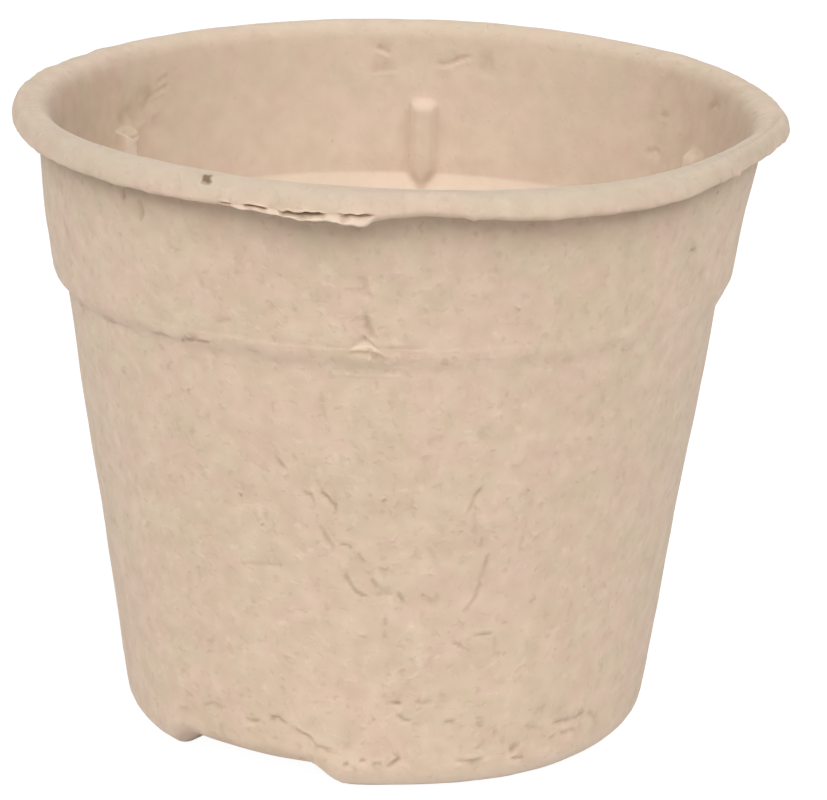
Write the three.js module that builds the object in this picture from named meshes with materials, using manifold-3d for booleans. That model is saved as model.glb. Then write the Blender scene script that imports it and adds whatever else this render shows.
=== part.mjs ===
// A round plant pot of moulded paper pulp: a bell-mouth lip, a collar, a stepped shoulder, a tapered wall
// and a flat base crossed by one raised drain channel. Six stacking lugs stand inside the collar.
// Millimetres, +Z up. The origin is on the pot's axis, on the surface that it stands on.
import * as THREE from "three";
import { mergeVertices } from "three/addons/utils/BufferGeometryUtils.js";
import Module from "manifold-3d";

const wasm = await Module();
wasm.setup();

// Overall sizes
const RIM_RADIUS = 60; // outermost edge of the lip
const POT_HEIGHT = 99; // ground to the crown of the lip
const WALL = 2; // thickness of the pulp, everywhere

// Lip: the wall flares outward on this radius, droops past the horizontal and hangs down a little
const LIP_FLARE_RADIUS = 1.9; // on the middle of the wall
const LIP_DROOP = THREE.MathUtils.degToRad(78);
const LIP_DROP = 1.6; // straight wall between the flare and the round edge
const LIP_DEPTH = 6; // crown to where the lip meets the collar

// Collar, shoulder and wall, all measured on the outside
const COLLAR_FOOT_RADIUS = 52.9;
const COLLAR_FOOT_HEIGHT = 73.9;
const SHOULDER_STEP = 2.4; // how far the shoulder comes in
const SHOULDER_DROP = 4.6; // how far it comes down meanwhile
const SHOULDER_MARGIN = 1.5; // straight wall that belongs to the shoulder, above and below its bend
const SHOULDER_BEND = 1.6; // radius that softens the shoulder's two edges
const BASE_RADIUS = 40.2; // where the wall's line meets the ground

// Base
const HEEL_RADIUS = 6; // outer radius between the wall and the floor
const HEEL_HEIGHT = 12; // ground to the upper edge of the heel
const CHANNEL_WIDTH = 19; // flat roof of the drain channel, on the underside
const CHANNEL_HEIGHT = 3.2; // ground to that roof
const CHANNEL_FLANK = 5; // width of each sloping side
const CHANNEL_ANGLE = THREE.MathUtils.degToRad(56); // heading of the channel from +X
const DRAIN_HOLE_RADIUS = 5;

// Stacking lugs
const LUG_COUNT = 6;
const LUG_FIRST_ANGLE = THREE.MathUtils.degToRad(25); // from +X
const LUG_WIDTH = 4.8;
const LUG_DEPTH = 2; // how far a lug's top stands out of the collar's inner face
const LUG_FOOT_DEPTH = 1.25; // how far it stands out at the collar's foot
const LUG_RISE = 12.5; // collar's foot to the top of a lug
const LUG_CHAMFER = 0.9;
const LUG_CLEARANCE = 0.3; // gap to the collar and to the shoulder

// Fineness of round shapes
const SEGMENTS = 72;
const ARC_STEPS = 6;
const BEND_STEPS = 3;
const CUTTER_MARGIN = 5; // how far a cutting shape runs past what it cuts

// Points and lines on the pot's section: x is the distance from the axis, y is the height

const point = (r, z) => new THREE.Vector2(r, z);

// The line through two points, moved sideways: to the left of its heading when the distance is positive.
function line(from, to, aside = 0) {
  const along = to.clone().sub(from).normalize();
  const left = point(-along.y, along.x).multiplyScalar(aside);
  return { start: from.clone().add(left), along };
}

function meet(a, b) {
  const gap = b.start.clone().sub(a.start);
  const t = gap.cross(b.along) / a.along.cross(b.along);
  return a.start.clone().addScaledVector(a.along, t);
}

const level = (z) => line(point(0, z), point(1, z));

function arc(centre, radius, from, to, steps = ARC_STEPS) {
  return Array.from({ length: steps + 1 }, (_, i) => {
    const angle = from + ((to - from) * i) / steps;
    return point(centre.x + radius * Math.cos(angle), centre.y + radius * Math.sin(angle));
  });
}

// The bend at the corner between two other points, as points on an arc that touches both sides.
function bend(before, corner, after, radius, steps) {
  const back = before.clone().sub(corner).normalize();
  const on = after.clone().sub(corner).normalize();
  const half = Math.acos(THREE.MathUtils.clamp(back.dot(on), -1, 1)) / 2;
  const middle = back.clone().add(on).normalize().multiplyScalar(radius / Math.sin(half)).add(corner);
  const first = corner.clone().addScaledVector(back, radius / Math.tan(half)).sub(middle);
  const turn = Math.sign(back.cross(on)) * (Math.PI - 2 * half);
  return arc(middle, radius, first.angle(), first.angle() - turn, steps);
}

// Section of the pot: outer lines, and inner lines one wall further in

const lipHang = point(Math.cos(LIP_DROOP), -Math.sin(LIP_DROOP)).multiplyScalar(LIP_DROP);
const flareCentre = point(
  RIM_RADIUS - WALL / 2 - lipHang.x - LIP_FLARE_RADIUS * Math.sin(LIP_DROOP),
  POT_HEIGHT - LIP_FLARE_RADIUS - WALL / 2,
);
const collarFoot = point(COLLAR_FOOT_RADIUS, COLLAR_FOOT_HEIGHT);
const shoulderFoot = point(COLLAR_FOOT_RADIUS - SHOULDER_STEP, COLLAR_FOOT_HEIGHT - SHOULDER_DROP);
const wallFoot = point(BASE_RADIUS, 0);

// The collar's outer line touches the outer face of the flare.
const toFlare = flareCentre.clone().sub(collarFoot);
const flareOuter = LIP_FLARE_RADIUS - WALL / 2;
const flareInner = LIP_FLARE_RADIUS + WALL / 2;
const collarHeading = toFlare.angle() + Math.asin(flareOuter / toFlare.length());
const collarTop = point(Math.cos(collarHeading), Math.sin(collarHeading)).add(collarFoot);

const outer = {
  collar: line(collarFoot, collarTop),
  shoulder: line(shoulderFoot, collarFoot),
  wall: line(wallFoot, shoulderFoot),
};
const inner = {
  collar: line(collarFoot, collarTop, WALL),
  shoulder: line(shoulderFoot, collarFoot, WALL),
  wall: line(wallFoot, shoulderFoot, WALL),
};

const lipCut = POT_HEIGHT - LIP_DEPTH;
const collarCut = COLLAR_FOOT_HEIGHT + WALL + SHOULDER_MARGIN;
const shoulderCut = COLLAR_FOOT_HEIGHT - SHOULDER_DROP - SHOULDER_MARGIN;
const innerLedgeTop = meet(inner.collar, inner.shoulder);
const innerLedgeFoot = meet(inner.shoulder, inner.wall);

// Solids

function lathe(points) {
  const closed = points[0].equals(points.at(-1)) || points[0].x === 0 ? points : [...points, points[0]];
  return new THREE.LatheGeometry(closed, SEGMENTS).rotateX(Math.PI / 2);
}

function solid(geometry) {
  const bare = new THREE.BufferGeometry().setAttribute("position", geometry.getAttribute("position"));
  if (geometry.index) bare.setIndex(geometry.index);
  const merged = mergeVertices(bare, 1e-4);
  return new wasm.Manifold(
    new wasm.Mesh({
      numProp: 3,
      vertProperties: merged.getAttribute("position").array,
      triVerts: new Uint32Array(merged.index.array),
    }),
  );
}

function geometryOf(body) {
  const mesh = body.getMesh();
  return new THREE.BufferGeometry()
    .setAttribute("position", new THREE.BufferAttribute(mesh.vertProperties, 3))
    .setIndex(new THREE.BufferAttribute(mesh.triVerts, 1));
}

const pulp = new THREE.MeshStandardMaterial({ color: 0xd9c1a7, roughness: 0.95, metalness: 0 });
const pot = new THREE.Group();

function add(parent, name, geometry) {
  const mesh = new THREE.Mesh(geometry, pulp.clone());
  mesh.name = name;
  parent.add(mesh);
}

// Rim lip: the collar's wall turned outward and down into a bell mouth with a round edge
{
  const start = collarHeading + Math.PI / 2; // both faces leave the collar's line here
  const end = Math.PI / 2 - LIP_DROOP;
  const drooped = point(Math.cos(end), Math.sin(end)).multiplyScalar(LIP_FLARE_RADIUS);
  const tip = drooped.add(flareCentre).add(lipHang);
  add(
    pot,
    "rim_lip",
    lathe([
      meet(outer.collar, level(lipCut)),
      ...arc(flareCentre, flareOuter, start, end),
      ...arc(tip, WALL / 2, end + Math.PI, end + 2 * Math.PI),
      ...arc(flareCentre, flareInner, end, start),
      meet(inner.collar, level(lipCut)),
    ]),
  );
}

// Collar: the upper band of the wall
add(
  pot,
  "collar_wall",
  lathe([
    meet(outer.collar, level(collarCut)),
    meet(outer.collar, level(lipCut)),
    meet(inner.collar, level(lipCut)),
    meet(inner.collar, level(collarCut)),
  ]),
);

// Shoulder: the step that joins the collar to the narrower wall, a ledge on the inside
{
  const outerTop = meet(outer.collar, level(collarCut));
  const outerLow = meet(outer.wall, level(shoulderCut));
  const innerTop = meet(inner.collar, level(collarCut));
  const innerLow = meet(inner.wall, level(shoulderCut));
  add(
    pot,
    "shoulder_step",
    lathe([
      outerLow,
      ...bend(outerLow, shoulderFoot, collarFoot, SHOULDER_BEND, BEND_STEPS),
      ...bend(shoulderFoot, collarFoot, outerTop, SHOULDER_BEND, BEND_STEPS),
      outerTop,
      innerTop,
      ...bend(innerTop, innerLedgeTop, innerLedgeFoot, SHOULDER_BEND, BEND_STEPS),
      ...bend(innerLedgeTop, innerLedgeFoot, innerLow, SHOULDER_BEND, BEND_STEPS),
      innerLow,
    ]),
  );
}

// Body wall: the long taper from the shoulder to the heel
add(
  pot,
  "body_wall",
  lathe([
    meet(outer.wall, level(HEEL_HEIGHT)),
    meet(outer.wall, level(shoulderCut)),
    meet(inner.wall, level(shoulderCut)),
    meet(inner.wall, level(HEEL_HEIGHT)),
  ]),
);

// Base: one dished shell, crossed by the drain channel, then parted into its feet, arches and floor.
// It is made with the channel along X and turned to the channel's heading.
{
  const base = new THREE.Group();
  base.rotation.z = CHANNEL_ANGLE;
  pot.add(base);

  const outerTop = meet(outer.wall, level(HEEL_HEIGHT));
  const innerTop = meet(inner.wall, level(HEEL_HEIGHT));
  const floorTop = meet(inner.wall, level(WALL));
  const outerHeel = bend(point(0, 0), wallFoot, outerTop, HEEL_RADIUS);
  const innerHeel = bend(innerTop, floorTop, point(0, WALL), HEEL_RADIUS - WALL);
  const floorRadius = outerHeel[0].x;

  const envelope = solid(lathe([point(0, 0), ...outerHeel, outerTop, point(0, HEEL_HEIGHT)]));
  const dish = solid(lathe([point(0, 0), ...outerHeel, outerTop, innerTop, ...innerHeel, point(0, WALL)]));

  // A straight ridge along X: the channel's hollow, and the same ridge one wall larger.
  const ridge = (grow) => {
    const slope = Math.atan2(CHANNEL_HEIGHT, CHANNEL_FLANK);
    const wider = grow / Math.sin(slope) - grow / Math.tan(slope);
    const top = CHANNEL_WIDTH / 2 + wider;
    const height = CHANNEL_HEIGHT + grow;
    const foot = top + (height + CUTTER_MARGIN) / Math.tan(slope);
    const section = new THREE.Shape([
      point(-foot, -CUTTER_MARGIN),
      point(foot, -CUTTER_MARGIN),
      point(top, height),
      point(-top, height),
    ]);
    const length = 2 * (BASE_RADIUS + HEEL_HEIGHT);
    const bar = new THREE.ExtrudeGeometry(section, { depth: length, bevelEnabled: false, steps: 1 });
    return solid(bar.translate(0, 0, -length / 2).rotateX(Math.PI / 2).rotateZ(Math.PI / 2));
  };
  const shell = dish.add(ridge(WALL).intersect(envelope)).subtract(ridge(0));

  const slab = (width, depth) => {
    const height = HEEL_HEIGHT + 2 * CUTTER_MARGIN;
    return solid(new THREE.BoxGeometry(width, depth, height).translate(0, 0, HEEL_HEIGHT / 2));
  };
  const drum = (radius) =>
    solid(
      lathe([
        point(0, -CUTTER_MARGIN),
        point(radius, -CUTTER_MARGIN),
        point(radius, HEEL_HEIGHT + CUTTER_MARGIN),
        point(0, HEEL_HEIGHT + CUTTER_MARGIN),
      ]),
    );
  const half = 2 * (BASE_RADIUS + HEEL_HEIGHT);
  const leftHalf = slab(2 * half, half).translate(0, half / 2, 0);
  const backHalf = slab(half, 2 * half).translate(half / 2, 0, 0);
  const strip = slab(2 * half, CHANNEL_WIDTH);
  const middle = drum(floorRadius);

  const roof = shell.intersect(strip).intersect(middle);
  const arches = shell.intersect(strip).subtract(middle);
  const feet = shell.subtract(strip);
  const floors = feet.intersect(middle);
  const heels = feet.subtract(middle);

  add(base, "drain_channel_roof", geometryOf(roof.subtract(drum(DRAIN_HOLE_RADIUS))));
  add(base, "drain_arch_back", geometryOf(arches.intersect(backHalf)));
  add(base, "drain_arch_front", geometryOf(arches.subtract(backHalf)));
  add(base, "floor_left", geometryOf(floors.intersect(leftHalf)));
  add(base, "floor_right", geometryOf(floors.subtract(leftHalf)));
  add(base, "heel_left", geometryOf(heels.intersect(leftHalf)));
  add(base, "heel_right", geometryOf(heels.subtract(leftHalf)));
}

// Stacking lugs: ribs on the collar's inner face that run down onto the ledge, with a sloping top.
// The next pot's shoulder lands on them, so that nested pots pull apart.
{
  // The room inside the pot, less the gap that a lug keeps to what it stands against.
  const near = WALL + LUG_CLEARANCE;
  const collarLine = line(collarFoot, collarTop, near);
  const ledgeLine = line(shoulderFoot, collarFoot, near);
  const wallLine = line(wallFoot, shoulderFoot, near);
  const room = solid(
    lathe([
      point(0, HEEL_HEIGHT),
      meet(wallLine, level(HEEL_HEIGHT)),
      meet(ledgeLine, wallLine),
      meet(collarLine, ledgeLine),
      meet(collarLine, level(POT_HEIGHT)),
      point(0, POT_HEIGHT),
    ]),
  );

  const top = COLLAR_FOOT_HEIGHT + LUG_RISE;
  const low = shoulderCut;
  const wallAtTop = meet(inner.collar, level(top));
  const wallAtFoot = meet(inner.collar, level(COLLAR_FOOT_HEIGHT));
  const faceTop = point(wallAtTop.x - LUG_DEPTH, top - LUG_DEPTH);
  const faceLine = line(point(wallAtFoot.x - LUG_FOOT_DEPTH, COLLAR_FOOT_HEIGHT), faceTop);
  const side = new THREE.Shape([
    meet(faceLine, level(low)),
    point(wallAtTop.x + CUTTER_MARGIN, low),
    point(wallAtTop.x + CUTTER_MARGIN, top + CUTTER_MARGIN),
    faceTop,
  ]);
  const straight = LUG_WIDTH - 2 * LUG_CHAMFER;
  const rib = new THREE.ExtrudeGeometry(side, {
    depth: straight,
    bevelEnabled: true,
    bevelSegments: 1,
    bevelThickness: LUG_CHAMFER,
    bevelSize: LUG_CHAMFER,
    bevelOffset: -LUG_CHAMFER,
  });
  rib.translate(0, 0, -straight / 2).rotateX(Math.PI / 2);
  for (let i = 0; i < LUG_COUNT; i++) {
    const angle = LUG_FIRST_ANGLE + (i * 2 * Math.PI) / LUG_COUNT;
    const placed = solid(rib.clone().rotateZ(angle));
    add(pot, `stacking_lug_${i + 1}`, geometryOf(placed.intersect(room)));
  }
}

export default pot;
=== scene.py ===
import math
import bmesh
import bpy
from mathutils import Matrix, Vector, noise


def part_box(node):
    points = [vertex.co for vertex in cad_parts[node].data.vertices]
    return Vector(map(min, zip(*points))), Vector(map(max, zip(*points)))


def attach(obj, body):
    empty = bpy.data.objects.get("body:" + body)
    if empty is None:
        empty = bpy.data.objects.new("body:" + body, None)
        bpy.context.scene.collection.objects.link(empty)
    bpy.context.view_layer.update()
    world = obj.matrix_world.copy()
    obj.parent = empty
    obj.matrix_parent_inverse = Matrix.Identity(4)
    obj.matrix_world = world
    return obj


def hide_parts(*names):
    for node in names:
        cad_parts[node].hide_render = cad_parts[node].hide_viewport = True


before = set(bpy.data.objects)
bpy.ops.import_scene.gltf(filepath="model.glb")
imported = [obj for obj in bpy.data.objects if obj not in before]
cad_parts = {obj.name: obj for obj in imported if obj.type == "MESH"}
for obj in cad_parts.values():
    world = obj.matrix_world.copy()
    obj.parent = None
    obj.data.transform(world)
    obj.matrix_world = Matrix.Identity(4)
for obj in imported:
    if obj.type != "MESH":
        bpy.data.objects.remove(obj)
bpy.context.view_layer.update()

# Pot shell, its section
# The pot is one moulding of paper pulp, drained on a wire mould and dried, with a wall of even thickness.
# Its outer face is drawn as one line from the drain hole to the lip, by a pen that runs and bends.
MM = 0.001
WALL = 2.0 * MM
RIM_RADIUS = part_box("rim_lip")[1][0]
POT_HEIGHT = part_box("rim_lip")[1][2]
HOLE_RADIUS = 5.0 * MM
BASE_RADIUS = 40.2 * MM
SHOULDER_FOOT = Vector((50.5 * MM, 0, 69.3 * MM))
COLLAR_FOOT = Vector((52.9 * MM, 0, 73.9 * MM))
HEEL_BEND = 5.6 * MM
SHOULDER_BEND = 3.0 * MM
COLLAR_BEND = 4.0 * MM
FLARE_BEND = 0.9 * MM
LIP_DROOP = math.radians(78)
LIP_DROP = 1.6 * MM
HEEL_STEPS = 8
SHOULDER_STEPS = 3
COLLAR_STEPS = 4
FLARE_STEPS = 10

shell = bmesh.new()


def run_to(pen, end):
    drawn = bmesh.ops.extrude_vert_indiv(shell, verts=[pen])["verts"][0]
    drawn.co = end
    return drawn


def bend_at(pen, corner, after, radius, steps):
    arrive = (corner - pen.co).normalized()
    leave = (after - corner).normalized()
    left = Vector((-arrive.z, 0, arrive.x))
    side = 1 if leave.dot(left) > 0 else -1
    turn = arrive.angle(leave)
    pen = run_to(pen, corner - arrive * radius * math.tan(turn / 2))
    swept = bmesh.ops.spin(
        shell, geom=[pen], cent=pen.co + left * side * radius, axis=(0, -side, 0), angle=turn, steps=steps
    )
    return [v for v in swept["geom_last"] if isinstance(v, bmesh.types.BMVert)][0]


lip_way = Vector((math.cos(LIP_DROOP), 0, -math.sin(LIP_DROOP)))
flare_reach = (FLARE_BEND + WALL / 2) * math.sin(LIP_DROOP) + WALL / 2 + lip_way.x * LIP_DROP
flare_centre = Vector((RIM_RADIUS - flare_reach, 0, POT_HEIGHT - FLARE_BEND - WALL))
to_flare = flare_centre - COLLAR_FOOT
collar_lean = math.atan2(to_flare.x, to_flare.z) - math.asin(FLARE_BEND / to_flare.length)
collar_way = Vector((math.sin(collar_lean), 0, math.cos(collar_lean)))
flare_turn = math.pi / 2 - collar_lean + LIP_DROOP
flare_start = COLLAR_FOOT + collar_way * to_flare.dot(collar_way)
lip_corner = flare_start + collar_way * FLARE_BEND * math.tan(flare_turn / 2)

pen = shell.verts.new((HOLE_RADIUS, 0, 0))
pen = bend_at(pen, Vector((BASE_RADIUS, 0, 0)), SHOULDER_FOOT, HEEL_BEND, HEEL_STEPS)
pen = bend_at(pen, SHOULDER_FOOT, COLLAR_FOOT, SHOULDER_BEND, SHOULDER_STEPS)
pen = bend_at(pen, COLLAR_FOOT, lip_corner, COLLAR_BEND, COLLAR_STEPS)
pen = bend_at(pen, lip_corner, lip_corner + lip_way, FLARE_BEND, FLARE_STEPS)

# Pot shell, spun
# The line is divided, spun round the axis and given the wall's thickness inward, and the lip's edge and
# the hole's edge are rounded.
FLOOR_PITCH = 2.4 * MM
WALL_PITCH = 1.7 * MM
TURN_STEPS = 240
MERGE_GAP = 0.01 * MM
LIP_LOW = 0.9 * POT_HEIGHT
LIP_ROUND = 0.92 * MM
LIP_SEGMENTS = 4
HOLE_ROUND = 0.5 * MM
HOLE_SEGMENTS = 2
SHARP = math.radians(60)

for piece in shell.edges[:]:
    pitch = FLOOR_PITCH if max(v.co.z for v in piece.verts) < MM else WALL_PITCH
    cuts = int(piece.calc_length() / pitch)
    if cuts:
        bmesh.ops.subdivide_edges(shell, edges=[piece], cuts=cuts)
pen = max((v for v in shell.verts if len(v.link_edges) == 1), key=lambda v: v.co.z)
run_to(pen, pen.co + lip_way * LIP_DROP)
bmesh.ops.spin(
    shell, geom=shell.verts[:] + shell.edges[:], cent=(0, 0, 0), axis=(0, 0, 1),
    angle=2 * math.pi, steps=TURN_STEPS, use_merge=True,
)
bmesh.ops.remove_doubles(shell, verts=shell.verts[:], dist=MERGE_GAP)
bmesh.ops.recalc_face_normals(shell, faces=shell.faces[:])
base_face = min(shell.faces, key=lambda f: f.calc_center_median().z)
if base_face.normal.z > 0:
    bmesh.ops.reverse_faces(shell, faces=shell.faces[:])
bmesh.ops.solidify(shell, geom=shell.faces[:], thickness=WALL)
bmesh.ops.recalc_face_normals(shell, faces=shell.faces[:])


def round_edges(low, high, size, segments):
    sharp = [
        e for e in shell.edges
        if e.is_manifold and low < e.verts[0].co.z < high and e.calc_face_angle(0) > SHARP
    ]
    bmesh.ops.bevel(
        shell, geom=sharp, offset=size, affect="EDGES", segments=segments, profile=0.5, material=-1,
        clamp_overlap=True,
    )


round_edges(LIP_LOW, 2 * POT_HEIGHT, LIP_ROUND, LIP_SEGMENTS)
round_edges(-MM, 2 * WALL, HOLE_ROUND, HOLE_SEGMENTS)

# Pot shell, fine places
# The wet wall wrinkled as it sank on the mould and dried with short soft creases, outside and inside. They,
# the lugs and the lip's front edge are finer than the spun mesh, so the faces there are divided again.
LUGS = [
    # angle from +X, how hard it was pinched outside, how much its inside face is painted paler as painted
    # light
    (24, 0.4, 0.7),
    (85, 0.4, 0.0),
    (147, 0.4, 1.1),
    (205, 0.3, 0.3),
    (266.2, 1.0, 0.1),
    (326, 0.25, 0.3),
]
LUG_SPAN = 4.4 * MM
LUG_LOW = 69 * MM
LUG_HIGH = 89 * MM
LUG_CUTS = 2
LIP_EDGE_DROP = 2.6 * MM
LIP_EDGE_REACH = 2.2 * MM
LIP_EDGE_CUTS = 1
WRINKLE_CUTS = 3
WRINKLE_ZONE = 0.7 * MM
WRINKLE_SPREAD = 2.0
SAME_SIDE = 90
# Each wrinkle has a depth and a width in millimetres, then the places that it runs through, each as degrees
# from +X and a height in millimetres.
OUTER_WRINKLES = [
    # middle of the body
    (0.30, 0.30, [(-110.5, 56), (-109.5, 54.5), (-108, 53)]),
    (0.18, 0.28, [(-107, 56), (-106, 54.5)]),
    (0.26, 0.28, [(-105.5, 50), (-104, 49.5), (-103, 47.5)]),
    (0.34, 0.28, [(-102.5, 50.5), (-101, 49.5), (-99.5, 48), (-99, 46.5)]),
    (0.24, 0.26, [(-102.5, 45), (-101.5, 43), (-100, 41), (-100, 40)]),
    (0.24, 0.26, [(-99, 42), (-97, 41.5), (-96.5, 41)]),
    (0.20, 0.26, [(-95.5, 40.5), (-94, 38.5)]),
    (0.30, 0.28, [(-98, 37.5), (-97, 35.5), (-95.5, 34), (-93, 33)]),
    (0.26, 0.30, [(-93, 36.5), (-91.5, 34.5)]),
    (0.24, 0.28, [(-88, 34.5), (-86.5, 32)]),
    (0.14, 0.40, [(-92, 38), (-88, 37)]),
    (0.14, 0.28, [(-93, 34), (-88, 34)]),
    (0.14, 0.40, [(-82.5, 42), (-81, 39)]),
    (0.14, 0.28, [(-84, 33), (-78, 32.5)]),
    (0.20, 0.32, [(-90, 31), (-90, 28), (-90.5, 25.5)]),
    (0.14, 0.28, [(-119, 36.5), (-113.5, 37), (-108.5, 37.5)]),
    # right of the middle
    (0.26, 0.32, [(-75.5, 46.5), (-74.5, 49.5), (-73, 51.5)]),
    (0.16, 0.36, [(-74, 43), (-74, 48)]),
    (0.22, 0.34, [(-72, 41), (-72.5, 43)]),
    (0.26, 0.32, [(-72, 35.5), (-71.5, 37.5), (-71, 40.5)]),
    (0.28, 0.32, [(-74.5, 30.5), (-72.5, 33.5), (-72, 36)]),
    (0.16, 0.36, [(-64.5, 38.5), (-64.5, 41.5), (-63.5, 45.5)]),
    (0.26, 0.40, [(-62, 41), (-60.5, 42)]),
    (0.20, 0.40, [(-68, 36.5), (-66.5, 37)]),
    (0.22, 0.28, [(-73, 26.5), (-68, 26.5)]),
    (0.16, 0.30, [(-67.5, 22.5), (-68, 26.5)]),
    (0.20, 0.28, [(-77.5, 26), (-75.5, 25), (-73.5, 24)]),
    # low on the body
    (0.40, 0.38, [(-90, 15.5), (-88, 15.5), (-86, 15.5)]),
    (0.26, 0.30, [(-83.5, 16), (-82.5, 15.5), (-79.5, 15.5)]),
    (0.34, 0.34, [(-87.5, 14), (-86, 12.5), (-84, 12.5)]),
    (0.26, 0.40, [(-92.5, 12.5), (-91.5, 12.5)]),
    (0.34, 0.30, [(-77.5, 12), (-75, 12)]),
    (0.26, 0.34, [(-70.5, 11.5), (-69, 10.5)]),
    (0.20, 0.40, [(-66, 10), (-65.5, 8.5)]),
    # heel
    (0.18, 0.34, [(-137, 12), (-133.5, 11)]),
    (0.18, 0.60, [(-139.5, 8), (-136, 8.5)]),
    (0.16, 0.26, [(-132.5, 10), (-128, 11.5), (-124, 11)]),
    (0.24, 0.34, [(-120, 10.5), (-119, 10), (-116, 10.5)]),
    (0.20, 0.40, [(-120.5, 8), (-118, 8.5)]),
    (0.20, 0.34, [(-113.5, 9), (-111, 8)]),
    (0.30, 0.30, [(-114.5, 11.5), (-112.5, 11.5), (-110, 10.5)]),
    (0.28, 0.28, [(-110.5, 10.5), (-107.5, 9.5), (-105.5, 9), (-104, 7.5), (-101, 7), (-98, 6)]),
    (0.36, 0.36, [(-98.5, 4.5), (-97, 5)]),
    (0.30, 0.40, [(-95, 5.5), (-93.5, 5.5)]),
    (0.30, 0.34, [(-92.5, 5), (-90, 5)]),
    (0.36, 0.36, [(-89, 4.5), (-87.5, 5.5), (-86, 6.5)]),
    (0.30, 0.34, [(-75, 5.5), (-71, 5), (-67.5, 5)]),
    (0.24, 0.34, [(-70, 7), (-68, 8)]),
    (0.34, 0.36, [(-62, 5.5), (-59.5, 7)]),
    (0.34, 0.36, [(-61.5, 4.5), (-58, 4.5)]),
    (0.24, 0.30, [(-59.5, 10), (-54, 8.5)]),
    (0.38, 0.34, [(-53, 9.5), (-48, 9), (-44, 9), (-41, 9.5)]),
    (0.30, 0.34, [(-41, 9.5), (-39, 8), (-36.5, 7)]),
    (0.30, 0.34, [(-52, 6.5), (-50.5, 7)]),
    (0.34, 0.36, [(-49.5, 7), (-46.5, 7), (-43, 6.5)]),
    # shoulder and collar
    (0.18, 0.28, [(-148.5, 70.5), (-145, 70.5), (-138, 71)]),
    (0.26, 0.28, [(-133.5, 71), (-131, 71.5), (-129.5, 71.5), (-128, 71)]),
    (0.28, 0.28, [(-126.5, 71.5), (-123, 72), (-120.5, 72)]),
    (0.18, 0.28, [(-119.5, 75.5), (-118, 76), (-116, 76.5)]),
    (0.14, 0.30, [(-115, 72), (-111.5, 71.5)]),
    (0.44, 0.44, [(-136, 93.5), (-136, 91.5)]),
    (0.40, 0.40, [(-132.5, 92.5), (-132, 90.5), (-133, 89)]),
    (0.24, 0.30, [(-156, 84), (-156.5, 81)]),
    (0.24, 0.30, [(-155.5, 78.5), (-156.5, 75)]),
    (0.24, 0.30, [(-154, 72.5), (-158.5, 68)]),
    (0.36, 0.44, [(-35, 84), (-33, 83.5)]),
    (0.26, 0.40, [(-34, 83.5), (-35, 81.5)]),
    (0.26, 0.40, [(-30.5, 79), (-27.5, 79.5)]),
    (0.22, 0.60, [(-97.5, 72.8), (-93.5, 73), (-90.5, 71.5)]),
    (0.12, 0.90, [(-91, 73.5), (-87.5, 73)]),
    (0.28, 0.50, [(-94.5, 79.5), (-92.8, 75)]),
    (0.20, 0.80, [(-94.8, 85.5), (-94.3, 81.5)]),
    # lip, torn under its front
    (0.30, 0.20, [(-115, 95.6), (-113, 95.6)]),
    (0.60, 0.20, [(-111.5, 95.5), (-107.5, 95.4)]),
    (1.00, 0.18, [(-106.5, 95.4), (-103, 95.4), (-99, 95.5)]),
    (0.55, 0.19, [(-98, 95.5), (-92.5, 95.7)]),
]
INNER_WRINKLES = [
    (0.36, 0.44, [(94, 95), (91, 94)]),
    (0.26, 0.44, [(95, 91), (89.5, 91.5)]),
    (0.30, 0.44, [(84, 92.5), (81, 92.5), (78.5, 93.5), (76, 94.5)]),
    (0.12, 1.60, [(76, 93), (72.5, 93.5)]),
    (0.36, 0.40, [(24, 93), (21, 94.5), (18, 94.5)]),
    (0.26, 0.44, [(37.5, 89.5), (34, 90)]),
    (0.32, 0.40, [(40, 83), (37, 84), (35, 83.5)]),
    (0.30, 1.80, [(150, 87), (143, 89), (137, 91)]),
    (0.26, 0.36, [(140, 90), (134, 92)]),
    (0.20, 0.36, [(138, 92), (134, 93.5)]),
]


def angle_of(co):
    return math.degrees(math.atan2(co.y, co.x))


def apart(a, b):
    return (a - b + 180) % 360 - 180


def clamp(x):
    return max(0.0, min(1.0, x))


def ease(x):
    x = clamp(x)
    return x * x * (3 - 2 * x)


def nearest_lug(co):
    # how far aside of the nearest lug, with how hard that lug was pinched and how much its inside face is
    # painted paler as painted light
    here = angle_of(co)
    angle, pinched, rib_light = min(LUGS, key=lambda lug: abs(apart(here, lug[0])))
    return math.radians(apart(here, angle)) * co.xy.length, pinched, rib_light


def wrinkles_near(co, outer):
    # for each wrinkle near a place: depth, width, distance aside in millimetres, and the share of it behind
    here = angle_of(co)
    found = []
    for depth, width, places in OUTER_WRINKLES if outer else INNER_WRINKLES:
        if abs(apart(places[0][0], here)) > SAME_SIDE:
            continue
        zone = max(WRINKLE_ZONE, WRINKLE_SPREAD * width * MM)
        corners = [Vector((math.radians(apart(a, here)) * co.xy.length, h * MM - co.z)) for a, h in places]
        if min(c.x for c in corners) > zone or max(c.x for c in corners) < -zone:
            continue
        if min(c.y for c in corners) > zone or max(c.y for c in corners) < -zone:
            continue
        aside = zone
        share = 0.0
        for i, (start, end) in enumerate(zip(corners, corners[1:])):
            along = end - start
            t = clamp(-start.dot(along) / along.length_squared)
            gap = start + along * t
            side = 1 if along.x * gap.y - along.y * gap.x < 0 else -1
            if gap.length < abs(aside):
                aside = gap.length * side
                share = (i + t) / (len(corners) - 1)
        if abs(aside) < zone:
            found.append((depth, width, aside / MM, share))
    return found


def on_lug(middle, outer):
    aside, pinched, rib_light = nearest_lug(middle)
    pressed = not outer or pinched == 1
    return LUG_LOW < middle.z < LUG_HIGH and abs(aside) < LUG_SPAN and pressed


def on_lip_front(middle, outer):
    low = middle.z < POT_HEIGHT - LIP_EDGE_DROP
    return low and middle.xy.length > RIM_RADIUS - LIP_EDGE_REACH and middle.y < 0


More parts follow.
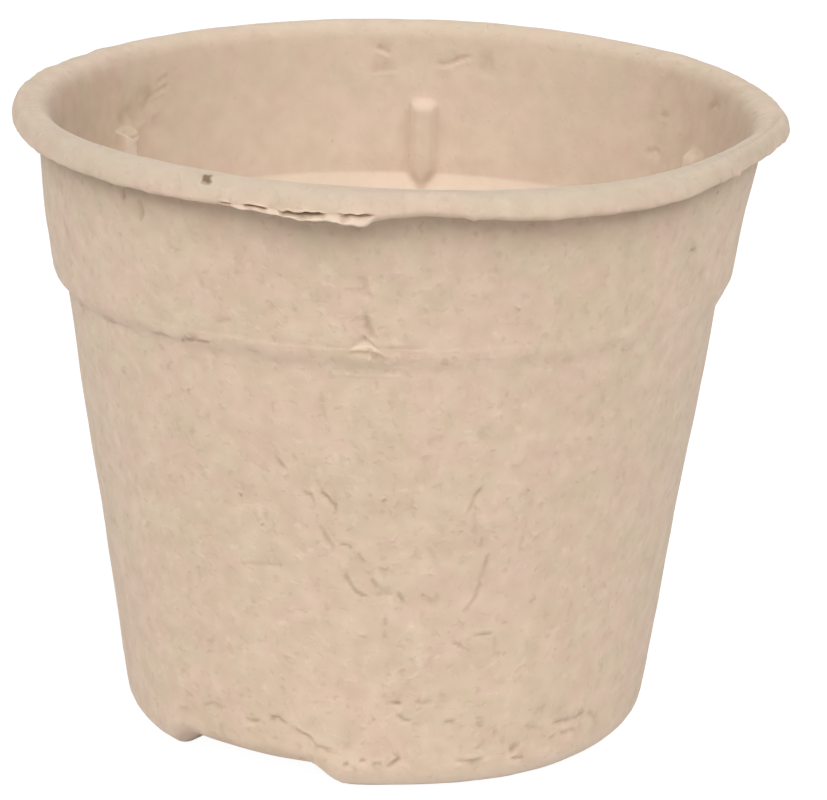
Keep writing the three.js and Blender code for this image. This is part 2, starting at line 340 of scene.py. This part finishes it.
def divide_where(test, cuts):
    chosen = []
    for f in shell.faces:
        middle = f.calc_center_median()
        if test(middle, f.normal.xy.dot(middle.xy) > 0):
            chosen.append(f)
    edges = dict.fromkeys(e for f in chosen for e in f.edges)
    bmesh.ops.subdivide_edges(shell, edges=list(edges), cuts=cuts, use_grid_fill=True)
    shell.normal_update()


shell.normal_update()
divide_where(on_lug, LUG_CUTS)
divide_where(wrinkles_near, WRINKLE_CUTS)
divide_where(on_lip_front, LIP_EDGE_CUTS)

# Pot shell, stacking lugs
# Six ribs are pressed in from outside, so that nested pots don't jam. Inside, each is a flat-faced rib with
# a sloping top that runs down over the ledge. Outside, it is a pinched crease over a small pocket.
LUG_HALF_FACE = 1.4 * MM
LUG_HALF_ROOT = 2.2 * MM
LUG_CAP_PITCH = 3.0
LUG_FOOT_DEPTH = 1.25 * MM
LUG_LEAN = 0.055
LUG_TOP = 86.4 * MM
LUG_POINT = 73.2 * MM
LUG_POINT_LENGTH = 2.0 * MM
LUG_SOFTEN = 0.5
RIB_LIGHT_DEPTH = 2.0 * MM
CREASE_TOP = 85.5 * MM
CREASE_FADE = 3.0 * MM
CREASE_WIDTH = 0.42 * MM
CREASE_DEPTH = 0.14 * MM
CREASE_STRAY = 0.35 * MM
CREASE_STRAY_LENGTH = 3.0 * MM
POCKET_LOW = 73.4 * MM
POCKET_HIGH = 75.7 * MM
POCKET_ROOF = 1.25
POCKET_TIP = 1.15
POCKET_HALF = 2.5 * MM
POCKET_EDGE = 0.8 * MM
POCKET_DEPTH = 0.9 * MM
POCKET_SHIFT = 0.5 * MM
POCKET_PALE = 0.4
POCKET_PALE_RISE = 3


def collar_radius(z):
    return COLLAR_FOOT.x + (z - COLLAR_FOOT.z) * math.tan(collar_lean)


def faces_out(v):
    return v.normal.xy.dot(v.co.xy.normalized()) > v.normal.z


def push_radius(v, radius):
    v.co.xy = v.co.xy * (radius / v.co.xy.length)


# How dark or pale the pulp is painted at each place, mostly as painted shade and painted light, how grey its
# upward faces are painted as a painted cool light, and how smooth it is, which its colour reads.
tone_layer = shell.verts.layers.float.new("tone")
cool_light_layer = shell.verts.layers.float.new("painted_cool_light")
smooth_layer = shell.verts.layers.float.new("smooth")
ribs = []
for v in shell.verts:
    if not LUG_LOW - MM < v.co.z < LUG_HIGH:
        continue
    aside, pinched, rib_light = nearest_lug(v.co)
    if abs(aside) > LUG_SPAN:
        continue
    radius = v.co.xy.length
    if faces_out(v):
        climb = (v.co.z - POCKET_LOW) / (POCKET_HIGH - POCKET_LOW)
        strayed = aside + CREASE_STRAY * noise.noise(v.co / CREASE_STRAY_LENGTH)
        pinch = math.exp(-(strayed / CREASE_WIDTH) ** 2)
        pinch *= ease((CREASE_TOP - v.co.z) / CREASE_FADE) * ease(climb)
        pocket = 0.0
        if 0 < climb < POCKET_ROOF:
            within = POCKET_HALF * (POCKET_TIP - climb) - abs(aside + POCKET_SHIFT)
            pocket = ease(within / POCKET_EDGE) * min(climb, 1.0)
            v[tone_layer] = -POCKET_PALE * pinched * ease(pocket * POCKET_PALE_RISE)
        push_radius(v, radius - pinched * max(CREASE_DEPTH * pinch, POCKET_DEPTH * pocket))
    else:
        half_face = LUG_HALF_FACE * clamp((v.co.z - LUG_POINT) / LUG_POINT_LENGTH)
        depth = LUG_FOOT_DEPTH + LUG_LEAN * (v.co.z - LUG_POINT)
        depth *= ease((LUG_HALF_ROOT - abs(aside)) / (LUG_HALF_ROOT - half_face))
        depth = min(depth, max(0.0, LUG_CAP_PITCH * (LUG_TOP - v.co.z)))
        rib_radius = collar_radius(v.co.z) - WALL / math.cos(collar_lean) - depth
        if depth > 0 and rib_radius < radius:
            push_radius(v, rib_radius)
            ribs.append(v)
            # painted light: the rib's face is painted paler the further it stands out
            v[tone_layer] = -rib_light * depth / RIB_LIGHT_DEPTH
bmesh.ops.smooth_vert(
    shell, verts=ribs, factor=LUG_SOFTEN, use_axis_x=True, use_axis_y=True, use_axis_z=True
)

# Pot shell, drain channel
# The floor is lifted in one straight strip, so that water leaves under the heel at two notches. The strip's
# flank is a little wider on one side.
CHANNEL_WAY = Vector((math.cos(math.radians(56)), math.sin(math.radians(56))))
CHANNEL_HALF = 9.5 * MM
CHANNEL_EXTRA = 2.0 * MM
CHANNEL_FLANK = 5.0 * MM
CHANNEL_HEIGHT = 3.2 * MM
CHANNEL_FADE = 12.0 * MM

for v in shell.verts:
    if v.co.z < CHANNEL_FADE:
        aside = CHANNEL_WAY.x * v.co.y - CHANNEL_WAY.y * v.co.x
        half = CHANNEL_HALF if aside > 0 else CHANNEL_HALF + CHANNEL_EXTRA
        lift = CHANNEL_HEIGHT * ease((half + CHANNEL_FLANK - abs(aside)) / CHANNEL_FLANK)
        v.co.z += lift * (1 - v.co.z / CHANNEL_FADE)

# Pot shell, wrinkled wall
# Each wrinkle is a ragged groove in the damp wall with a low flap along one side of it, and the groove is
# painted darker as painted shade. The whole wall dries slightly lumpy.
WRINKLE_DEPTH = 1.2
WRINKLE_ENDS = 4
WRINKLE_STRAY = 0.22
WRINKLE_STRAY_LENGTH = 1.2 * MM
WRINKLE_FULL = 0.9
WRINKLE_GAPS = 0.8
WRINKLE_GAPS_LENGTH = 1.7 * MM
FLAP_HEIGHT = 0.5
FLAP_ASIDE = 1.6
FLAP_WIDTH = 0.7
DARK_FROM = 0.08
DARK_FULL = 0.38
DARK_MOST = 1.6
LUMPS = [
    # length and height
    (21.0 * MM, 0.22 * MM),
    (7.0 * MM, 0.09 * MM),
    (3.2 * MM, 0.05 * MM),
]

shell.normal_update()
damp = [(v, v.co.copy(), v.normal.copy(), faces_out(v)) for v in shell.verts]
for v, place, normal, outer in damp:
    for depth, width, gap, share in wrinkles_near(place, outer):
        gap += WRINKLE_STRAY * noise.noise(place / WRINKLE_STRAY_LENGTH)
        ends = ease(share * WRINKLE_ENDS) * ease((1 - share) * WRINKLE_ENDS)
        cut = ends * math.exp(-(gap / width) ** 2)
        cut *= clamp(WRINKLE_FULL + WRINKLE_GAPS * noise.noise(place / WRINKLE_GAPS_LENGTH))
        flap = ends * math.exp(-((gap - FLAP_ASIDE * width) / (FLAP_WIDTH * width)) ** 2)
        v.co += normal * WRINKLE_DEPTH * depth * (FLAP_HEIGHT * flap - cut) * MM
        # painted shade: the groove's colour darkens with how deep it cuts
        if cut > DARK_FROM:
            v[tone_layer] = max(v[tone_layer], cut * min(DARK_MOST, depth / DARK_FULL))
    for length, height in LUMPS:
        v.co += normal * height * noise.noise(place / length)

# Pot shell, painted light and shade
# The ledge, the heel and the inside of the front lip are painted paler as painted light, the inside is
# smoother than the outside, its left and right walls are painted darker as painted shade, and its back wall
# is painted paler as painted light.
LEDGE_LOW = 70 * MM
LEDGE_HIGH = 77 * MM
LEDGE_PAINTED_LIGHT = 0.8
LEDGE_TURN = 1.4
SIDE_PAINTED_SHADE = 0.42
SIDE_FROM = 0.72
SIDE_FADE = 3.6
SIDE_TOP = 97 * MM
BACK_PAINTED_LIGHT = 0.25
BACK_FROM = 0.2
BACK_FADE = 0.6
INSIDE_SMOOTH = 0.6
INSIDE_FADE = 4 * MM
HEEL_PAINTED_LIGHT = 0.6
HEEL_TOP = 5 * MM
HEEL_FADE = 4 * MM


def outward_at(place):
    return Vector((place.x, place.y, 0)).normalized()


for v, place, normal, outer in damp:
    if outer:
        # painted light: the heel is painted paler near the table
        v[tone_layer] -= HEEL_PAINTED_LIGHT * ease((HEEL_TOP - place.z) / HEEL_FADE)
        continue
    v[smooth_layer] = INSIDE_SMOOTH * ease((POT_HEIGHT - place.z) / INSIDE_FADE)
    if LEDGE_LOW < place.z < LEDGE_HIGH:
        # painted light: the ledge's upward faces are painted paler
        v[tone_layer] -= LEDGE_PAINTED_LIGHT * clamp(normal.z * LEDGE_TURN)
    if place.z > LEDGE_HIGH:
        outward = outward_at(place)
        side = ease((abs(outward.x) - SIDE_FROM) * SIDE_FADE)
        # painted shade: the inside's left and right walls are painted darker
        v[tone_layer] += SIDE_PAINTED_SHADE * side * ease((SIDE_TOP - place.z) / INSIDE_FADE)
        # painted light: the inside back wall is painted paler
        v[tone_layer] -= BACK_PAINTED_LIGHT * ease((outward.y - BACK_FROM) / BACK_FADE)

# Pot shell, sunken front
# In front the step between body and collar dried short and low: the body swelled a little under it, and the
# collar drew in.
STEP_LOW = 70.0 * MM
STEP_HIGH = 72.8 * MM
BODY_BULGE = 0.5 * MM
BULGE_LOW = 35 * MM
BULGE_RISE = 35 * MM
COLLAR_SHALLOW = 0.6 * MM
SHALLOW_TOP = 95 * MM
SHALLOW_RISE = 20 * MM
SUNKEN_LOW = 30 * MM
SUNKEN_LEAN = 0.3
FRONT_FROM = 0.15
FRONT_FADE = 0.4
WALL_LEAN = (SHOULDER_FOOT.x - BASE_RADIUS) / SHOULDER_FOOT.z


def body_radius(z):
    return SHOULDER_FOOT.x + (z - SHOULDER_FOOT.z) * WALL_LEAN


def spun_radius(z):
    if z < SHOULDER_FOOT.z:
        return body_radius(z)
    if z > COLLAR_FOOT.z:
        return collar_radius(z)
    climb = (z - SHOULDER_FOOT.z) / (COLLAR_FOOT.z - SHOULDER_FOOT.z)
    return SHOULDER_FOOT.lerp(COLLAR_FOOT, climb).x


def sunken_radius(z, shallow):
    body = body_radius(z) + shallow * BODY_BULGE * ease((z - BULGE_LOW) / BULGE_RISE)
    collar = collar_radius(z) - shallow * COLLAR_SHALLOW * ease((SHALLOW_TOP - z) / SHALLOW_RISE)
    return body + (collar - body) * ease((z - STEP_LOW) / (STEP_HIGH - STEP_LOW))


def in_front(outward):
    return ease((-outward.y - FRONT_FROM) / FRONT_FADE)


for v, place, normal, outer in damp:
    if SUNKEN_LOW < place.z < SHALLOW_TOP:
        outward = outward_at(place)
        ahead = in_front(outward)
        sunken = sunken_radius(place.z, ahead * (1 + SUNKEN_LEAN * outward.x)) - spun_radius(place.z)
        v.co += outward * max(ahead, clamp(-outward.x)) * sunken

# Pot shell, uneven lip
# Damp pulp sags and warps as it dries: the lip waves and hangs unevenly, one side of it is drawn out, a strip
# under its front is torn and swollen, and a few tufts cling to its edge. Its upward faces are painted grey as
# a painted cool light from above, most at the front, and the inside of its front edge is painted paler as
# painted light.
RIM_WAVES = [
    # angle, half width in degrees, outward and upward shift in millimetres
    (-6, 14, 0.7, -0.9),
    (-50, 32, 0.0, -0.8),
    (-125, 32, 0.0, 0.4),
    (165, 45, -1.0, -0.4),
]
LIP_LIFTS = [
    # angle, half width in degrees, upward shift of the lip's edge in millimetres
    (-84, 8, 0.9),
    (-32, 10, 0.7),
    (-14, 16, 2.0),
    (180, 28, 1.2),
]
LIP_NICKS = [
    # length and height
    (7.0 * MM, 0.26 * MM),
    (2.2 * MM, 0.2 * MM),
    (1.1 * MM, 0.12 * MM),
]
TUFTS = [
    # angle, height in millimetres
    (-79, 94.6),
    (-31.5, 95.2),
    (-37.5, 93.6),
]
TUFT_SIZE = 0.6
TUFT_HEIGHT = 0.5 * MM
RIM_LOW = 80 * MM
RIM_HIGH = 97 * MM
EDGE_REACH = 2.6 * MM
EDGE_FADE = 1.4 * MM
LIP_COOL_LIGHT = 0.5
LIP_COOL_LIGHT_BEHIND = 0.45
LIP_COOL_LIGHT_TURN = 0.3
LIP_INSIDE_PAINTED_LIGHT = 0.8
TORN_ANGLE = -103
TORN_HALF = 11
TORN_ENDS = 4
TORN_TOP = 95.6 * MM
TORN_FADE = 0.5 * MM
TORN_OUT = 0.45
TORN_DROP = 0.55
TORN_SLOPE = 0.025
TORN_PALE = 0.9
TORN_DARK = 0.1

for v, place, normal, outer in damp:
    lip = ease((place.z - RIM_LOW) / (RIM_HIGH - RIM_LOW))
    if lip == 0:
        continue
    here = angle_of(place)
    outward = outward_at(place)
    ahead = in_front(outward)
    for angle, half, out, up in RIM_WAVES:
        swell = lip * math.exp(-(apart(here, angle) / half) ** 2)
        v.co += outward * out * MM * swell
        v.co.z += up * MM * swell
    # painted cool light: the lip's upward faces are painted grey, most at the front
    front_weight = LIP_COOL_LIGHT_BEHIND + (1 - LIP_COOL_LIGHT_BEHIND) * ahead
    v[cool_light_layer] = LIP_COOL_LIGHT * lip * clamp(LIP_COOL_LIGHT_TURN + normal.z) * front_weight
    # painted light: the inside of the front lip's edge is painted paler
    v[tone_layer] -= LIP_INSIDE_PAINTED_LIGHT * lip * ahead * clamp(-2 * normal.dot(outward))
    edge = ease((place.xy.length - RIM_RADIUS + EDGE_REACH) / EDGE_FADE)
    for angle, half, up in LIP_LIFTS:
        v.co.z += edge * up * MM * math.exp(-(apart(here, angle) / half) ** 2)
    off_torn = apart(here, TORN_ANGLE)
    torn = edge * ease(TORN_ENDS * (1 - abs(off_torn) / TORN_HALF))
    torn *= ease((TORN_TOP - place.z) / TORN_FADE)
    for length, height in LIP_NICKS:
        v.co.z += edge * height * (1 + torn) * noise.noise(place / length)
    v.co += outward * TORN_OUT * MM * torn
    v.co.z -= (TORN_DROP + TORN_SLOPE * off_torn) * MM * torn
    if torn > 0 and v[tone_layer] < TORN_DARK:
        v[tone_layer] = -TORN_PALE * torn
    for angle, height in TUFTS:
        off = Vector((math.radians(apart(here, angle)) * place.xy.length, place.z - height * MM)).length
        v.co += normal * edge * TUFT_HEIGHT * math.exp(-(off / MM / TUFT_SIZE) ** 2)
for v in shell.verts:
    v.co.z = max(v.co.z, 0.0)

shell_mesh = bpy.data.meshes.new("pot_shell")
shell.to_mesh(shell_mesh)
shell.free()
shell_mesh.shade_smooth()
pot_shell = bpy.data.objects.new("pot_shell", shell_mesh)
bpy.context.collection.objects.link(pot_shell)
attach(pot_shell, "root")
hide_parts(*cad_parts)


# Pot shell, pulp
# Recycled paper pulp: dry and matt, beige, clouded where the fibres lie thick or thin, with pale and dark
# fibres felted in all directions, a few dark flecks, and a grainy face from the wire mould. Its small hollows
# are also painted darker and its small rises paler, as painted shade and painted light.
class Shade:
    """One value in a material's node tree. Arithmetic on it adds Math nodes to that tree."""

    def __init__(self, tree, socket=None):
        self.tree = tree
        self.socket = socket

    def node(self, kind, settings={}, inputs={}, output=0):
        made = self.tree.nodes.new(kind)
        for name, value in settings.items():
            setattr(made, name, value)
        for name, value in inputs.items():
            if isinstance(value, Shade):
                self.tree.links.new(value.socket, made.inputs[name])
            else:
                made.inputs[name].default_value = value
        return Shade(self.tree, made.outputs[output])

    def math(self, operation, first, second=0.0):
        return self.node("ShaderNodeMath", {"operation": operation}, {0: first, 1: second})

    def __add__(self, other):
        return self.math("ADD", self, other)

    def __sub__(self, other):
        return self.math("SUBTRACT", self, other)

    def __rsub__(self, other):
        return self.math("SUBTRACT", other, self)

    def __mul__(self, other):
        return self.math("MULTIPLY", self, other)

    __radd__ = __add__
    __rmul__ = __mul__

    def span(self, low, high):
        return self.node("ShaderNodeMapRange", {"clamp": True}, {0: self, 1: low, 2: high})

    def mix(self, first, second):
        return self.node("ShaderNodeMix", {"data_type": "RGBA"}, {0: self, 6: first, 7: second}, 2)


PULP_PINK = (0.702, 0.523, 0.405, 1)
PULP_STRAW = (0.665, 0.535, 0.385, 1)
PULP_PALE = (0.830, 0.690, 0.560, 1)
PULP_DEEP = (0.470, 0.335, 0.235, 1)
PULP_FLECK = (0.230, 0.150, 0.100, 1)
PULP_COOL_LIGHT = (0.500, 0.440, 0.350, 1)
FELT_PALE = 0.24
FELT_DEEP = 0.18
MARKS = 0.3
FLECKS = 0.5
DOTS = 0.4
PAINTED_SHADE = 0.9
STRAY = 1.3
ROUGHNESS = 0.86
ROUGHNESS_VARIES = 0.1

pulp = bpy.data.materials.new("pulp")
pulp.use_nodes = True
pulp_face = pulp.node_tree.nodes["Principled BSDF"]
paint = Shade(pulp.node_tree)
metres = paint.node("ShaderNodeTexCoord", output="Object")
millimetres = paint.node("ShaderNodeVectorMath", {"operation": "SCALE"}, {0: metres, "Scale": 1 / MM})
stray = paint.node("ShaderNodeTexNoise", {}, {"Vector": millimetres, "Scale": 0.9, "Detail": 2.0}, "Color")
astray = paint.node("ShaderNodeVectorMath", {"operation": "SUBTRACT"}, {0: stray, 1: (0.5, 0.5, 0.5)})
strayed = paint.node("ShaderNodeVectorMath", {"operation": "SCALE"}, {0: astray, "Scale": STRAY})
ragged = paint.node("ShaderNodeVectorMath", {"operation": "ADD"}, {0: millimetres, 1: strayed})
ragged_far = paint.node("ShaderNodeVectorMath", {"operation": "ADD"}, {0: ragged, 1: (71.0, 37.0, 53.0)})


def clouds(where, scale, detail=1.0, roughness=0.5):
    inputs = {"Vector": where, "Scale": scale, "Detail": detail, "Roughness": roughness}
    return paint.node("ShaderNodeTexNoise", {"noise_dimensions": "3D"}, inputs, "Fac")


def strewn(turn, scale, size, luck_low):
    # small bits strewn at random: each cell holds one, stretched along an axis of the turned frame
    settings = {"vector_type": "POINT"}
    drawn = paint.node("ShaderNodeMapping", settings, {"Vector": ragged, "Rotation": turn, "Scale": scale})
    nearest = paint.node("ShaderNodeTexVoronoi", {}, {"Vector": drawn, "Scale": 1.0}, "Distance")
    tint = paint.node("ShaderNodeTexVoronoi", {}, {"Vector": drawn, "Scale": 1.0}, "Color")
    luck = paint.node("ShaderNodeSeparateColor", {}, {0: tint}, "Red").span(luck_low, 1.0)
    return (luck * size - nearest).span(0.0, size * 0.8)


def spot(angle, radius, height, size):
    # one dark speck at a place on the pot
    turn = math.radians(angle)
    where = (radius * math.cos(turn), radius * math.sin(turn), height)
    away = paint.node("ShaderNodeVectorMath", {"operation": "DISTANCE"}, {0: ragged, 1: where}, "Value")
    return away.span(size, size * 0.5)


def painted(layer):
    return paint.node("ShaderNodeAttribute", {"attribute_name": layer}, output="Fac")


hue = clouds(millimetres, 0.13, 2.0, 0.6).span(0.36, 0.64)
felt = clouds(millimetres, 0.3).span(0.25, 0.75)
dark_marks = clouds(ragged, 0.62).span(0.58, 0.82)
pale_marks = clouds(ragged_far, 0.58).span(0.58, 0.82)
nicks = strewn((0.3, 0.2, 0.1), (0.5, 0.5, 0.2), 0.3, 0.2)
nicks = nicks + strewn((0.9, 0.4, 1.3), (0.5, 0.2, 0.5), 0.3, 0.25)
flakes = strewn((0.5, -0.4, 0.8), (0.42, 0.42, 0.28), 0.3, 0.4)
flecks = strewn((0.1, 0.6, 0.3), (0.24, 0.24, 0.24), 0.09, 0.7)
rim_speck = spot(-117.6, 58.5, 98.8, 1.1)
dots = spot(-117.5, 47.4, 48, 0.45) + spot(-113.5, 46.7, 43.5, 0.4) + spot(-64.5, 47.7, 50, 0.4)
dots = dots + spot(-29.5, 55.4, 92, 0.45) + spot(-126.5, 51.6, 71.5, 0.5)
tone = painted("tone")
painted_cool_light = painted("painted_cool_light")
rough = 1 - painted("smooth")

colour = hue.mix(PULP_PINK, PULP_STRAW)
# partly painted light and shade: felt, marks, nicks and flakes are paler where the relief below rises and
# darker where it sinks
colour = (felt * FELT_PALE).mix(colour, PULP_PALE)
colour = ((1 - felt) * FELT_DEEP).mix(colour, PULP_DEEP)
colour = ((pale_marks + flakes) * MARKS * rough).mix(colour, PULP_PALE)
colour = ((dark_marks + nicks) * MARKS * rough).mix(colour, PULP_DEEP)
colour = (flecks * FLECKS).mix(colour, PULP_FLECK)
# painted shade: darker in the wrinkles' grooves and on the inside's left and right walls
colour = (tone.span(0.0, DARK_MOST) * PAINTED_SHADE).mix(colour, PULP_DEEP)
# painted light: paler on the ledge, heel, rib faces, inside back wall and inside of the front lip; also the
# paler lug pockets and torn strip
colour = tone.span(0.0, -1.0).mix(colour, PULP_PALE)
# painted cool light: greyer on the lip's upward faces
colour = painted_cool_light.mix(colour, PULP_COOL_LIGHT)
colour = (rim_speck + dots * DOTS).mix(colour, PULP_FLECK)
# heights and depths in millimetres
raised = felt * 0.12 + flakes * 0.06 + pale_marks * 0.06
relief = (raised - nicks * 0.08 - dark_marks * 0.07) * rough
bump = paint.node("ShaderNodeBump", {}, {"Strength": 1.0, "Distance": MM, "Height": relief})
pulp.node_tree.links.new(colour.socket, pulp_face.inputs["Base Color"])
pulp.node_tree.links.new(bump.socket, pulp_face.inputs["Normal"])
pulp.node_tree.links.new((ROUGHNESS + felt * ROUGHNESS_VARIES).socket, pulp_face.inputs["Roughness"])
pulp_face.inputs["Specular IOR Level"].default_value = 0.25
pulp_face.inputs["Diffuse Roughness"].default_value = 0.3
pulp_face.inputs["Sheen Weight"].default_value = 0.14
pulp_face.inputs["Sheen Roughness"].default_value = 0.5
shell_mesh.materials.append(pulp)

# Floor
# A plain pale sheet just under the pot. The camera sees it as white paper with the pot's faint shadow on it,
# while the pot itself gets only the modest light that a pale sheet throws back.
FLOOR_HALF = 3.0
FLOOR_GAP = 0.02 * MM
FLOOR_GREY = (0.8, 0.8, 0.8, 1)
FLOOR_SHADOW_GREY = (0.12, 0.12, 0.12, 1)
FLOOR_WHITE = 0.97
WHITE = (1, 1, 1, 1)

floor_plan = bmesh.new()
floor_place = Matrix.Translation((0, 0, -FLOOR_GAP))
bmesh.ops.create_grid(floor_plan, x_segments=1, y_segments=1, size=FLOOR_HALF, matrix=floor_place)
floor_mesh = bpy.data.meshes.new("floor")
floor_plan.to_mesh(floor_mesh)
floor_plan.free()
floor = bpy.data.objects.new("floor", floor_mesh)
bpy.context.collection.objects.link(floor)
sheet = bpy.data.materials.new("floor_sheet")
sheet.use_nodes = True
sheet.node_tree.nodes.remove(sheet.node_tree.nodes["Principled BSDF"])
ground = Shade(sheet.node_tree)


def seen_directly(shade):
    # one for what the camera sees, straight or by reflection or through glass, and nought for other light
    straight = shade.node("ShaderNodeLightPath", output="Is Camera Ray")
    mirrored = shade.node("ShaderNodeLightPath", output="Is Glossy Ray")
    through = shade.node("ShaderNodeLightPath", output="Is Transmission Ray")
    return (straight + mirrored + through).span(0.0, 1.0)


matt = ground.node("ShaderNodeBsdfDiffuse", {}, {"Color": FLOOR_GREY})
shadowed = ground.node("ShaderNodeBsdfDiffuse", {}, {"Color": FLOOR_SHADOW_GREY})
white = ground.node("ShaderNodeEmission", {}, {"Color": WHITE, "Strength": FLOOR_WHITE})
paper = ground.node("ShaderNodeAddShader", {}, {0: shadowed, 1: white})
sheet_face = ground.node("ShaderNodeMixShader", {}, {0: seen_directly(ground), 1: matt, 2: paper})
sheet.node_tree.links.new(sheet_face.socket, sheet.node_tree.nodes["Material Output"].inputs["Surface"])
floor_mesh.materials.append(sheet)

# Studio light
# Two broad soft lamps, to the left and right behind the viewer, and a weaker one between them. The room adds
# pale light from half way up on the viewer's side and none from overhead, so it stays dark under the lip.
LAMPS = [
    # angle to the right of the viewer, angle above the table, power
    (-50, 40, 5.2),
    (50, 40, 4.4),
    (0, 35, 2.6),
]
LAMP_WIDTH = 0.9
LAMP_DISTANCE = 1.4
LAMP_AIM = Vector((0, 0, 50 * MM))
ROOM_LIGHT = 1.85
ROOM_SIDE = (0.2, -0.2)
ROOM_LOW = (0.37, 0.47)
ROOM_HIGH = (0.92, 0.82)

world = bpy.data.worlds.new("studio")
bpy.context.scene.world = world
world.use_nodes = True
room = Shade(world.node_tree)
way = room.node("ShaderNodeTexCoord", output="Generated")
toward_viewer = room.node("ShaderNodeSeparateXYZ", {}, {0: way}, "Y").span(*ROOM_SIDE)
upness = room.node("ShaderNodeSeparateXYZ", {}, {0: way}, "Z")
halfway_up = upness.span(*ROOM_LOW) * upness.span(*ROOM_HIGH)
dark = room.node("ShaderNodeBackground", {}, {"Color": WHITE, "Strength": 0.0})
pale = room.node("ShaderNodeBackground", {}, {"Color": WHITE, "Strength": ROOM_LIGHT})
light = room.node("ShaderNodeMixShader", {}, {0: toward_viewer * halfway_up, 1: dark, 2: pale})
backdrop = room.node("ShaderNodeBackground", {}, {"Color": WHITE, "Strength": 1.0})
around = room.node("ShaderNodeMixShader", {}, {0: seen_directly(room), 1: light, 2: backdrop})
world.node_tree.links.new(around.socket, world.node_tree.nodes["World Output"].inputs["Surface"])

for aside, above, power in LAMPS:
    turn = math.radians(aside)
    climb = math.radians(above)
    out = Vector((math.sin(turn) * math.cos(climb), -math.cos(turn) * math.cos(climb), math.sin(climb)))
    lamp_data = bpy.data.lights.new("soft_lamp", "AREA")
    lamp_data.shape = "DISK"
    lamp_data.size = LAMP_WIDTH
    lamp_data.energy = power
    lamp = bpy.data.objects.new("soft_lamp", lamp_data)
    lamp.location = LAMP_AIM + out * LAMP_DISTANCE
    lamp.rotation_euler = (-out).to_track_quat("-Z", "Y").to_euler()
    bpy.context.collection.objects.link(lamp)

# Camera
# A long lens, looking down a little on the pot, turned slightly so that the pot's right side sits lower.
# Its shift puts the pot's axis where the picture has it.
IMAGE_WIDTH = 827
IMAGE_HEIGHT = 800
FOCAL_PIXELS = 4907.8
SENSOR_WIDTH = 36.0
AIM_PIXEL = (389.6, 421.2)
AIM = Vector((0, 0, 47 * MM))
DISTANCE = 770.65 * MM
ELEVATION = math.radians(17.0)
ROLL = math.radians(1.224)

back = Vector((0, -math.cos(ELEVATION), math.sin(ELEVATION)))
level = Vector((1, 0, 0))
upright = back.cross(level)
across = level * math.cos(ROLL) + upright * math.sin(ROLL)
upward = upright * math.cos(ROLL) - level * math.sin(ROLL)
camera_data = bpy.data.cameras.new("camera")
camera_data.sensor_fit = "HORIZONTAL"
camera_data.sensor_width = SENSOR_WIDTH
camera_data.lens = FOCAL_PIXELS / IMAGE_WIDTH * SENSOR_WIDTH
camera_data.shift_x = (IMAGE_WIDTH / 2 - AIM_PIXEL[0]) / IMAGE_WIDTH
camera_data.shift_y = (AIM_PIXEL[1] - IMAGE_HEIGHT / 2) / IMAGE_WIDTH
camera = bpy.data.objects.new("camera", camera_data)
turned = Matrix((across, upward, back)).transposed().to_4x4()
camera.matrix_world = Matrix.Translation(AIM + back * DISTANCE) @ turned
bpy.context.collection.objects.link(camera)
bpy.context.scene.camera = camera

scene = bpy.context.scene
scene.view_settings.view_transform = "Standard"
